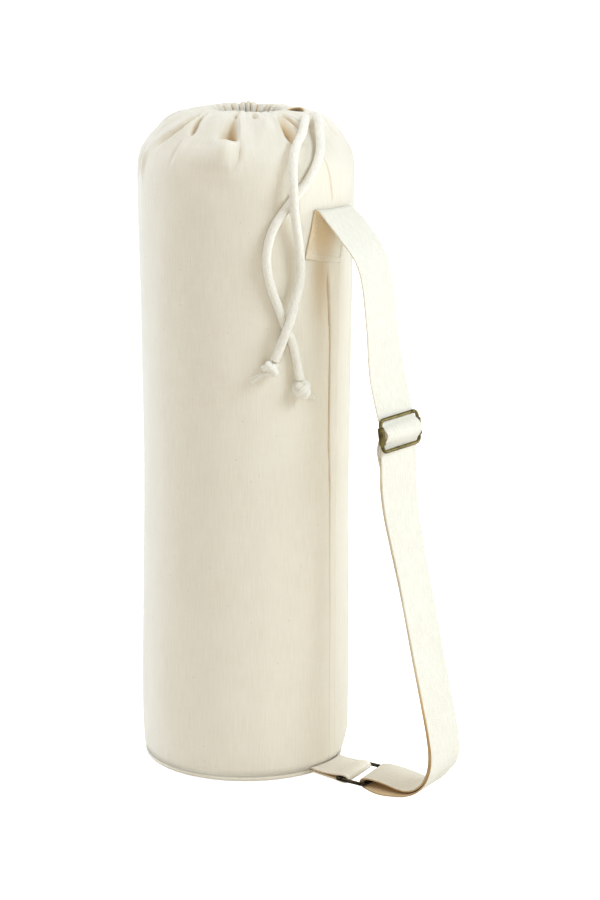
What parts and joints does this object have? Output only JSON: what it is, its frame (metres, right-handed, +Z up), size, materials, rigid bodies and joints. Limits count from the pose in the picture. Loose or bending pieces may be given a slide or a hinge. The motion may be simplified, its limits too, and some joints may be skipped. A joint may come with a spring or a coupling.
{
  "type": "yoga kit bag",
  "caption": "Cylindrical canvas drawstring bag for a rolled yoga mat, standing on a flat round base, with an adjustable webbing shoulder strap along its side seam.",
  "frame": {"origin": "centre of the round base's underside, on the floor", "axes": "+Z up along the bag, +X towards the side seam and the shoulder strap"},
  "size_m": [0.3471, 0.2098, 0.654],
  "materials": {
    "canvas": "natural cotton canvas, plain weave",
    "webbing": "off-white ribbed cotton webbing",
    "cotton_cord": "braided natural cotton cord",
    "antique_brass": "antiqued brass wire",
    "dark_wire": "dark antiqued wire"
  },
  "bodies": {
    "root": {"bag_body": "canvas", "base_panel": "canvas", "shoulder_strap": "webbing", "lower_tab": "webbing", "ring": "dark_wire", "slider_frame": "antique_brass", "slider_bar": "antique_brass", "drawstring_left": "cotton_cord", "drawstring_right": "cotton_cord", "knot_left": "cotton_cord", "knot_right": "cotton_cord"}
  },
  "joints": []
}
